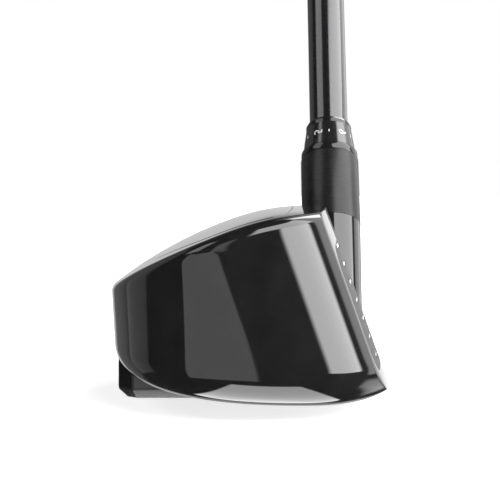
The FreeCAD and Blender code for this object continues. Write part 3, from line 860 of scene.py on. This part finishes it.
def grip():
    """Tapered rubber sleeve. Two sets of shallow helical grooves cross into
    diamonds, in panels parted by plain bands."""
    angles = np.arange(GRIP_STEPS) * 2 * math.pi / GRIP_STEPS
    bore_radius = SHAFT_BUTT_RADIUS + TAPE
    start = GRIP_MOUTH + 2 * GRIP_LIP
    rows = []

    def add(radii, height):
        ring = np.column_stack([radii * np.cos(angles), radii * np.sin(angles),
                                np.full(GRIP_STEPS, height)])
        rows.append(placed(ring, SHAFT))

    flat = np.ones(GRIP_STEPS)
    add(flat * bore_radius, GRIP_MOUTH)
    for share in np.linspace(0, 1, 7):
        swell = math.sin(share * math.pi / 2)
        add(flat * (GRIP_MOUTH_RADIUS - GRIP_LIP * (1 - swell)), GRIP_MOUTH + 2 * GRIP_LIP * share)
    panel = (BUTT - start - 2 * TREAD_START) / TREAD_BANDS
    for height in np.linspace(start, BUTT, GRIP_ROWS)[1:]:
        share = (height - start) / (BUTT - start)
        radius = GRIP_MOUTH_RADIUS + (GRIP_BUTT_RADIUS - GRIP_MOUTH_RADIUS) * share
        reach = height - start - TREAD_START
        in_panel = abs((reach / panel) % 1 - 0.5) < TREAD_HALF and 0 < reach < panel * TREAD_BANDS
        rise = reach * 2 * math.pi / TREAD_PITCH
        groove = 0 * angles
        for hand in (1, -1):
            phase = np.cos(TREAD_TURNS * angles * hand + rise)
            groove = np.maximum(groove, np.clip((phase - GROOVE_START) / GROOVE_EASE, 0, 1))
        add(radius - TREAD_DEPTH * groove * in_panel, height)
    add(flat * bore_radius, BUTT)
    rows.append(rows[0])
    work = Patchwork()
    work.grid(rows)
    made = work.weld("grip_sleeve")
    smooth_by_angle(made, TREAD_ANGLE)
    return made


CAP_RIM = 1.0
CAP_ROUND = 2.5
CAP_GROOVE = (8.6, 8.3, 7.7, 7.4)       # radii across the groove in the cap's end
CAP_GROOVE_DEPTH = 0.35
VENT_EDGE = 0.4


def grip_cap():
    """Domed end of the grip with its vent hole and a shallow ring-shaped groove."""
    dome = []
    for angle in np.linspace(0, math.pi / 2, 9):
        dome.append((GRIP_CAP_RADIUS - CAP_ROUND + CAP_ROUND * math.cos(angle),
                     CLUB_LENGTH - CAP_ROUND + CAP_ROUND * math.sin(angle)))
    floor_height = CLUB_LENGTH - CAP_GROOVE_DEPTH
    groove = list(zip(CAP_GROOVE, (CLUB_LENGTH, floor_height, floor_height, CLUB_LENGTH)))
    hole = [(VENT_RADIUS + VENT_EDGE, CLUB_LENGTH), (VENT_RADIUS, CLUB_LENGTH - VENT_EDGE),
            (VENT_RADIUS, BUTT)]
    profile = [(GRIP_BUTT_RADIUS, BUTT), (GRIP_CAP_RADIUS, BUTT + CAP_RIM)] + dome + groove + hole
    return turned("cap_moulded", profile, SHAFT)


# ---- numbers and marks round the loft sleeve ------------------------------
MARK_HEIGHT = 2.3
MARK_THICKNESS = 0.04
MARKS_AT = 59.9             # middle of the sleeve's cone
MARK_COUNT = 12


def cone_radius(height):
    share = (height - SEAT_RING_TOP) / (SLEEVE_TOP - SEAT_RING_TOP)
    return SLEEVE_SHOULDER + (SLEEVE_NECK - SLEEVE_SHOULDER) * share


def sleeve_marks():
    """Generic numbers and ticks that stand a hair proud of the sleeve's cone."""
    points, faces = [], []
    for k in range(MARK_COUNT):
        curve = bpy.data.curves.new("mark", "FONT")
        curve.body = str(k // 2 + 1) if k % 2 == 0 else "-"
        curve.size = MARK_HEIGHT * 1.35
        curve.align_x = "CENTER"
        curve.align_y = "CENTER"
        curve.extrude = MARK_THICKNESS
        text = bpy.data.objects.new("mark", curve)
        mesh = bpy.data.meshes.new_from_object(text)
        first = len(points)
        turn = k * 2 * math.pi / MARK_COUNT
        for vertex in mesh.vertices:
            along, across, out = vertex.co
            height = MARKS_AT + along
            radius = cone_radius(height) + out
            angle = turn + across / cone_radius(MARKS_AT)
            points.append((radius * math.cos(angle), radius * math.sin(angle), height))
        for polygon in mesh.polygons:
            faces.append([first + v for v in polygon.vertices])
        bpy.data.objects.remove(text)
    made = new_object("sleeve_marks", placed(np.array(points), HOSEL), faces)
    work = bmesh.new()
    work.from_mesh(made.data)
    bmesh.ops.remove_doubles(work, verts=work.verts, dist=1e-4 * MM)
    bmesh.ops.recalc_face_normals(work, faces=work.faces)
    work.to_mesh(made.data)
    work.free()
    return made


SCORELINES = 8
SCORE_DEPTH = 0.35
PAINT_SUNK = 0.2


def score_paint():
    """White paint that fills the face's grooves almost to the surface."""
    work = Patchwork()
    y = np.linspace(-SCORE_HALF, SCORE_HALF, 49)
    for k in range(SCORELINES):
        foot = SCORE_FOOT + k * SCORE_PITCH
        rows = []
        for height, sunk in ((foot, SCORE_DEPTH), (foot, PAINT_SUNK),
                             (foot + SCORE_WIDTH, PAINT_SUNK), (foot + SCORE_WIDTH, SCORE_DEPTH)):
            rows.append(np.column_stack([face_x(y, height) - sunk, y, 0 * y + height]))
        work.grid(rows + rows[:1], closed=False)
        for end in (0, -1):
            corners = np.array([row[end] for row in rows])
            work.fan(corners, corners.mean(axis=0))
    return work.weld("score_paint")


# ---- materials ------------------------------------------------------------
def grey(level):
    return (level, level, level)


class Finish:
    """A Principled material whose colour, roughness and relief come from noise in
    object space, so they stay with the piece."""

    def __init__(self, name, metallic=0.0, coat=0.0, coat_roughness=0.03, specular=0.5):
        self.material = bpy.data.materials.new(name)
        self.material.use_nodes = True
        self.nodes = self.material.node_tree.nodes
        self.links = self.material.node_tree.links
        self.shader = self.nodes["Principled BSDF"]
        self.shader.inputs["Metallic"].default_value = metallic
        self.shader.inputs["Coat Weight"].default_value = coat
        self.shader.inputs["Coat Roughness"].default_value = coat_roughness
        self.shader.inputs["Specular IOR Level"].default_value = specular
        self.place = self.nodes.new("ShaderNodeTexCoord").outputs["Object"]
        self.height = None

    def stretched(self, turn, scale):
        """Object coordinates turned and stretched, for grain along an axis."""
        mapping = self.nodes.new("ShaderNodeMapping")
        mapping.vector_type = "TEXTURE"
        mapping.inputs["Rotation"].default_value = turn
        mapping.inputs["Scale"].default_value = scale
        self.links.new(self.place, mapping.inputs["Vector"])
        return mapping.outputs["Vector"]

    def noise(self, size, detail=3.0, place=None):
        """Noise whose features are about this many millimetres."""
        node = self.nodes.new("ShaderNodeTexNoise")
        node.inputs["Scale"].default_value = 1 / (size * MM)
        node.inputs["Detail"].default_value = detail
        self.links.new(place or self.place, node.inputs["Vector"])
        return node.outputs["Fac"]

    def between(self, value, low, high, start=0.3, end=0.7):
        """The value between start and end spread over low to high."""
        node = self.nodes.new("ShaderNodeMapRange")
        for socket, number in (("From Min", start), ("From Max", end),
                               ("To Min", low), ("To Max", high)):
            node.inputs[socket].default_value = number
        self.links.new(value, node.inputs["Value"])
        return node.outputs["Result"]

    def blend(self, share, first, second):
        """A colour between two, by a share from 0 to 1."""
        ramp = self.nodes.new("ShaderNodeMix")
        ramp.data_type = "RGBA"
        ramp.inputs[6].default_value = (*first, 1)
        ramp.inputs[7].default_value = (*second, 1)
        self.links.new(share, ramp.inputs[0])
        return ramp.outputs[2]

    def colour(self, output):
        self.links.new(output, self.shader.inputs["Base Color"])

    def rough(self, output):
        self.links.new(output, self.shader.inputs["Roughness"])

    def relief(self, value, depth, strength=1.0):
        """Adds a bump of this depth in millimetres on top of any before it."""
        bump = self.nodes.new("ShaderNodeBump")
        bump.inputs["Distance"].default_value = depth * MM
        bump.inputs["Strength"].default_value = strength
        self.links.new(value, bump.inputs["Height"])
        if self.height:
            self.links.new(self.height, bump.inputs["Normal"])
        self.height = bump.outputs["Normal"]
        self.links.new(self.height, self.shader.inputs["Normal"])

    def dress(self, *objects):
        for piece in objects:
            piece.data.materials.clear()
            piece.data.materials.append(self.material)
        return self.material


def gloss_paint(name):
    """Black lacquer: a very smooth clear coat with faint orange peel and dust."""
    finish = Finish(name, coat=0.35, coat_roughness=0.02)
    finish.colour(finish.blend(finish.between(finish.noise(6.0), 0, 1), grey(0.0065), grey(0.0095)))
    finish.rough(finish.between(finish.noise(14.0, 5.0), 0.035, 0.06))
    finish.relief(finish.noise(2.4, 1.0), 0.0035, 0.35)
    return finish


def cast_satin(name):
    """Dark coated casting, a little rough, rubbed lighter in places."""
    finish = Finish(name, specular=0.3)
    rubbed = finish.between(finish.noise(3.0, 6.0), 0, 1, 0.45, 0.75)
    finish.colour(finish.blend(rubbed, grey(0.018), grey(0.03)))
    finish.rough(finish.between(finish.noise(0.7, 4.0), 0.30, 0.42))
    finish.relief(finish.noise(0.35, 3.0), 0.006, 0.6)
    return finish


def matt_coat(name, axis_turn):
    """Fine matt coating with turning marks round the hosel's axis."""
    finish = Finish(name, specular=0.3)
    finish.colour(finish.blend(finish.between(finish.noise(2.0, 4.0), 0, 1), grey(0.008), grey(0.012)))
    marks = finish.noise(0.5, 2.0, finish.stretched(axis_turn, (60, 60, 0.5)))
    finish.rough(finish.between(marks, 0.26, 0.33))
    finish.relief(marks, 0.004, 0.7)
    finish.relief(finish.noise(0.16, 2.0), 0.004, 0.6)
    return finish


def face_coat(name):
    """Satin black steel with milling marks across the face."""
    finish = Finish(name, metallic=0.7, specular=0.5)
    milled = finish.noise(0.6, 2.0, finish.stretched((0, 0, 0), (1, 30, 1)))
    finish.colour(finish.blend(finish.between(milled, 0, 1), grey(0.035), grey(0.055)))
    finish.rough(finish.between(finish.noise(1.2, 4.0), 0.30, 0.42))
    finish.relief(milled, 0.01, 0.7)
    return finish


def bare_metal(name, dark, light, low, high, grain=(1, 1, 1), turn=(0, 0, 0)):
    finish = Finish(name, metallic=1.0)
    brushed = finish.noise(0.4, 3.0, finish.stretched(turn, grain))
    finish.colour(finish.blend(finish.between(brushed, 0, 1), dark, light))
    finish.rough(finish.between(finish.noise(1.0, 4.0), low, high))
    finish.relief(brushed, 0.006, 0.6)
    return finish


def moulded(name, dark, light, low, high, grain_size=0.3, depth=0.01, specular=0.4):
    """Plastic or rubber with a fine moulded grain."""
    finish = Finish(name, specular=specular)
    finish.colour(finish.blend(finish.between(finish.noise(5.0, 5.0), 0, 1), dark, light))
    finish.rough(finish.between(finish.noise(1.5, 4.0), low, high))
    finish.relief(finish.noise(grain_size, 2.0), depth, 0.8)
    return finish


def shaft_lacquer(name, axis_turn):
    """Dark lacquer over wound carbon fibre, whose wrap shows faintly."""
    finish = Finish(name, coat=0.9, coat_roughness=0.08, specular=0.4)
    wrap = finish.nodes.new("ShaderNodeTexWave")
    wrap.inputs["Scale"].default_value = 1 / (9 * MM)
    wrap.inputs["Distortion"].default_value = 0.4
    wrap.bands_direction = "Z"
    finish.links.new(finish.stretched(axis_turn, (1, 1, 1)), wrap.inputs["Vector"])
    fibres = finish.noise(0.3, 3.0, finish.stretched(axis_turn, (1, 1, 40)))
    finish.colour(finish.blend(finish.between(fibres, 0, 1), (0.006, 0.006, 0.007), (0.010, 0.010, 0.011)))
    finish.rough(finish.between(wrap.outputs["Fac"], 0.16, 0.20, 0, 1))
    finish.relief(fibres, 0.002, 0.4)
    return finish


HOSEL_TURN = (LIE - UPRIGHT, 0, 0)
SHAFT_TURN = (LIE - UPRIGHT + SHAFT_TILT, 0, 0)


# ---- the club -------------------------------------------------------------
UNDER_SOLE = 0.03           # a face this far below the sole belongs to the keel


def build_club():
    shell, shares = head()
    cover = crown_cover(shares)
    sleeve_of_neck = collar()
    ring = loose_ring()
    tube = shaft()
    rubber = grip()
    cap = grip_cap()
    marks = sleeve_marks()
    paint = score_paint()
    for piece in (cover, sleeve_of_neck, ring, tube, cap):
        smooth_by_angle(piece)

    lacquer = gloss_paint("gloss_black")
    satin = cast_satin("cast_satin")
    lacquer.dress(shell, cover)
    shell.data.materials.append(satin.material)
    for polygon in shell.data.polygons:
        x, y, z = polygon.center / MM
        under_sole = z < sole_z(x, y) - UNDER_SOLE and x < KEEL_FRONT + PAST
        polygon.material_index = int(under_sole)
    matt_coat("collar_matt", HOSEL_TURN).dress(sleeve_of_neck)
    gloss_black = moulded("ring_black", grey(0.008), grey(0.011), 0.08, 0.13, 2.0, 0.001, 0.5)
    gloss_black.dress(ring, NODES["shaft_ferrule"])
    moulded("sleeve_anodised", grey(0.01), grey(0.015), 0.1, 0.16, 0.6, 0.001, 0.9).dress(
        NODES["loft_sleeve"])
    moulded("mark_enamel", grey(0.55), grey(0.65), 0.35, 0.5, 0.4, 0.002).dress(marks, paint)
    shaft_lacquer("shaft_lacquer", SHAFT_TURN).dress(tube)
    rubber_finish = moulded("grip_rubber", grey(0.012), grey(0.02), 0.55, 0.75, 0.35, 0.03, 0.35)
    rubber_finish.dress(rubber, cap)
    face_coat("face_satin").dress(NODES["face_plate"])
    moulded("slot_polymer", grey(0.02), grey(0.028), 0.5, 0.65).dress(NODES["slot_filler"])
    bare_metal("seat_steel", (0.42, 0.42, 0.43), (0.5, 0.5, 0.51), 0.22, 0.35,
               (20, 20, 1), HOSEL_TURN).dress(NODES["splined_seat"])
    bare_metal("weight_dark", grey(0.07), grey(0.11), 0.25, 0.38,
               (1, 20, 1)).dress(NODES["weight_puck"])
    bare_metal("screw_steel", (0.25, 0.25, 0.26), (0.34, 0.34, 0.35), 0.2, 0.32).dress(
        NODES["weight_screw"], NODES["hosel_screw"], NODES["hosel_washer"])
    moulded("retainer_nylon", (0.68, 0.66, 0.6), (0.76, 0.74, 0.68), 0.4, 0.5).dress(
        NODES["screw_retainer"])
    moulded("ring_rubber", grey(0.012), grey(0.02), 0.35, 0.5).dress(NODES["o_ring"])
    bare_metal("plug_brass", (0.55, 0.4, 0.16), (0.65, 0.5, 0.22), 0.2, 0.35).dress(NODES["tip_plug"])
    moulded("tape_paper", (0.7, 0.67, 0.58), (0.78, 0.75, 0.66), 0.75, 0.9, 0.5, 0.02).dress(
        NODES["grip_tape"])

    for piece, node, body, slot in ((shell, "head_casting", "head", "head_paint"),
                                    (cover, "crown_panel", "head", "crown_paint"),
                                    (sleeve_of_neck, "hosel_collar", "head", "collar_matt"),
                                    (ring, "seat_ring", "loose_ring", "ring_gloss"),
                                    (tube, "shaft", "shaft_assembly", "shaft_lacquer"),
                                    (rubber, "grip", "shaft_assembly", "grip_rubber"),
                                    (cap, "grip_cap", "shaft_assembly", "grip_rubber")):
        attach(piece, body)
        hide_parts(node)
    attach(marks, "shaft_assembly")
    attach(paint, "head")


# ---- floor, light and camera ----------------------------------------------
def floor():
    """A plain pale floor that meets the pale backdrop without a line."""
    work = Patchwork()
    steps = np.linspace(-4000, 4000, 9)
    work.grid([np.column_stack([steps, 0 * steps + y, 0 * steps]) for y in steps], closed=False)
    made = work.weld("floor")
    finish = moulded("floor_pale", grey(0.80), grey(0.84), 0.8, 0.9, 4.0, 0.02)
    finish.shader.inputs["Emission Color"].default_value = (1, 1, 1, 1)
    finish.shader.inputs["Emission Strength"].default_value = 0.75
    finish.dress(made)
    made.visible_glossy = False


class Studio:
    """The light round the club, as soft panels set by direction. Azimuth 0 is
    towards -Y, 90 towards +X; elevation is above the horizon."""

    def __init__(self):
        world = bpy.data.worlds.new("studio")
        world.use_nodes = True
        bpy.context.scene.world = world
        self.nodes = world.node_tree.nodes
        self.links = world.node_tree.links
        place = self.nodes.new("ShaderNodeTexCoord").outputs["Generated"]
        split = self.nodes.new("ShaderNodeSeparateXYZ")
        self.links.new(place, split.inputs[0])
        x, y, z = split.outputs
        turned_y = self.math("MULTIPLY", y, -1.0)
        self.azimuth = self.math("DEGREES", self.math("ARCTAN2", x, turned_y))
        self.elevation = self.math("DEGREES", self.math("ARCSINE", z))
        self.from_back = self.math("SUBTRACT", 180.0, self.math("ABSOLUTE", self.azimuth))
        depth = self.math("MAXIMUM", self.math("MULTIPLY", z, -1.0), 0.001)
        self.below_x = self.math("DIVIDE", x, depth)
        self.below_y = self.math("DIVIDE", y, depth)
        self.total = None

    def math(self, kind, first, second=None):
        node = self.nodes.new("ShaderNodeMath")
        node.operation = kind
        for socket, value in zip(node.inputs, (first, second)):
            if isinstance(value, (int, float)):
                socket.default_value = value
            elif value is not None:
                self.links.new(value, socket)
        return node.outputs[0]

    def within(self, value, low, high, soft):
        """1 between low and high, easing to 0 over the soft width at each end."""
        masks = []
        for edge, rising in ((low, True), (high, False)):
            node = self.nodes.new("ShaderNodeMapRange")
            node.interpolation_type = "SMOOTHSTEP"
            node.inputs["From Min"].default_value = edge - soft / 2
            node.inputs["From Max"].default_value = edge + soft / 2
            node.inputs["To Min"].default_value = 0.0 if rising else 1.0
            node.inputs["To Max"].default_value = 1.0 if rising else 0.0
            self.links.new(value, node.inputs["Value"])
            masks.append(node.outputs["Result"])
        return self.math("MULTIPLY", *masks)

    def add(self, strength, *masks):
        light = masks[0]
        for mask in masks[1:]:
            light = self.math("MULTIPLY", light, mask)
        light = self.math("MULTIPLY", light, strength)
        self.total = light if self.total is None else self.math("ADD", self.total, light)

    def panel(self, strength, azimuths, elevations, soft):
        self.add(strength, self.within(self.azimuth, *azimuths, soft[0]),
                 self.within(self.elevation, *elevations, soft[1]))

    def finish(self, fill, backdrop):
        """Panels light the club; the camera itself sees the pale backdrop."""
        background = self.nodes["Background"]
        seen = self.nodes.new("ShaderNodeBackground")
        seen.inputs["Color"].default_value = (*grey(backdrop), 1)
        self.links.new(self.math("ADD", self.total, fill), background.inputs["Strength"])
        background.inputs["Color"].default_value = (1, 1, 1, 1)
        mix = self.nodes.new("ShaderNodeMixShader")
        direct = self.nodes.new("ShaderNodeLightPath").outputs["Is Camera Ray"]
        self.links.new(direct, mix.inputs[0])
        self.links.new(background.outputs[0], mix.inputs[1])
        self.links.new(seen.outputs[0], mix.inputs[2])
        self.links.new(mix.outputs[0], self.nodes["World Output"].inputs["Surface"])


# Soft panels: strength, azimuths, elevations, and how widely sides and ends fade,
# in degrees.
PANELS = (
    (7.2, (45, 101), (-2, 26), (7, 2)),         # main softbox, right of the camera
    (5.6, (14, 112), (26, 62), (8, 3)),         # its upper part, wider
    (1.6, (111, 150), (-10, 60), (4, 4)),       # right rear
    (0.45, (150, 176), (-10, 60), (10, 4)),     # further round to the back
    (1.2, (114, 150), (-33, -19), (12, 8)),     # low right rear
    (2.0, (-92, -52), (34, 62), (6, 6)),        # high left
    (1.0, (-16, 2), (-0.5, 34), (8, 4)),        # narrow strip above the camera
    (0.2, (-140, -113), (-24, 40), (2, 3)),     # left rear
    (0.12, (-166, -140), (-24, 40), (16, 3)),   # its dimmer end
    (5.0, (138, 160), (27, 60), (6, 6)),        # high right rear, for the hosel
)
SLANT_START = -6.0          # elevation above which the left panel's right side slants
SLANT = 2.0                 # degrees of azimuth for each degree of elevation
FILL = 0.03


def light():
    studio = Studio()
    for strength, azimuths, elevations, soft in PANELS:
        studio.panel(strength, azimuths, elevations, soft)
    raised = studio.math("MAXIMUM", studio.math("SUBTRACT", studio.elevation, SLANT_START), 0.0)
    slanted = studio.math("ADD", studio.azimuth, studio.math("MULTIPLY", raised, SLANT))
    left = (studio.within(slanted, -68, -1, 3), studio.within(studio.azimuth, -68, 20, 2),
            studio.within(studio.elevation, -30, 60, 3))
    backdrop = (studio.within(studio.from_back, -20, 15, 6),
                studio.within(studio.elevation, -75, 6, 3))
    below = (studio.within(studio.below_x, -0.44, 0.44, 0.06),
             studio.within(studio.below_y, -0.95, 0.75, 0.1),
             studio.within(studio.elevation, -91, -20, 1))
    for strength, masks in ((1.0, left), (0.6, backdrop), (4.6, below)):
        studio.add(strength, *masks)
    studio.finish(fill=FILL, backdrop=1.0)


CAMERA_DISTANCE = 0.324
CAMERA_HEIGHT = 0.04271
CAMERA_PITCH = math.radians(-2.5)
CAMERA_LENS = 115.2
SENSOR = 36.0


def camera():
    data = bpy.data.cameras.new("camera")
    data.lens = CAMERA_LENS
    data.sensor_width = SENSOR
    data.clip_start = 0.01
    made = bpy.data.objects.new("camera", data)
    made.location = (0, -CAMERA_DISTANCE, CAMERA_HEIGHT)
    made.rotation_euler = (UPRIGHT + CAMERA_PITCH, 0, 0)
    bpy.context.scene.collection.objects.link(made)
    bpy.context.scene.camera = made


build_club()
floor()
light()
camera()
bpy.context.scene.view_settings.view_transform = "Standard"
